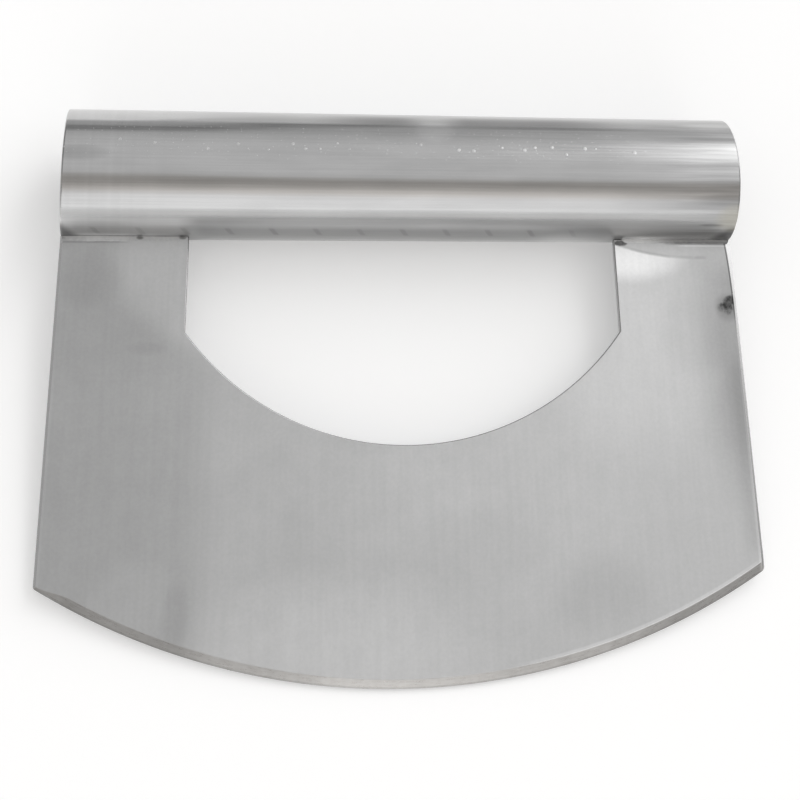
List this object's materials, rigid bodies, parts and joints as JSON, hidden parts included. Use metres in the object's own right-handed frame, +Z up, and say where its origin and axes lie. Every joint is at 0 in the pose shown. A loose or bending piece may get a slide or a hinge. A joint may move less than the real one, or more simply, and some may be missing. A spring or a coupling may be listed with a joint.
{
  "type": "dough scraper",
  "caption": "Dough scraper: flat sheet-steel blade with a curved ground edge and a round-bottomed finger window, welded under a straight open steel tube that is the handle.",
  "frame": {"origin": "on the worktop, below the middle of the tool's bounding box, with the tool lying as it rests by itself", "axes": "+X along the tube, to the right as the picture sees it; +Y from the cutting edge towards the tube; +Z up from the worktop"},
  "size_m": [0.135, 0.106, 0.0254],
  "materials": {
    "tube_steel": "drawn tube polished lengthwise to a soft satin, with fine lines along it",
    "blade_steel": "matt mill-finish sheet with faint smudges; the edge is ground along its length",
    "weld_steel": "small fillets dressed nearly flat with a wheel, with faint streaks along them"
  },
  "bodies": {
    "root": {"handle_tube": "tube_steel", "blade": "blade_steel", "weld_front_left": "weld_steel", "weld_front_right": "weld_steel", "weld_back_left": "weld_steel", "weld_back_right": "weld_steel"}
  },
  "joints": []
}
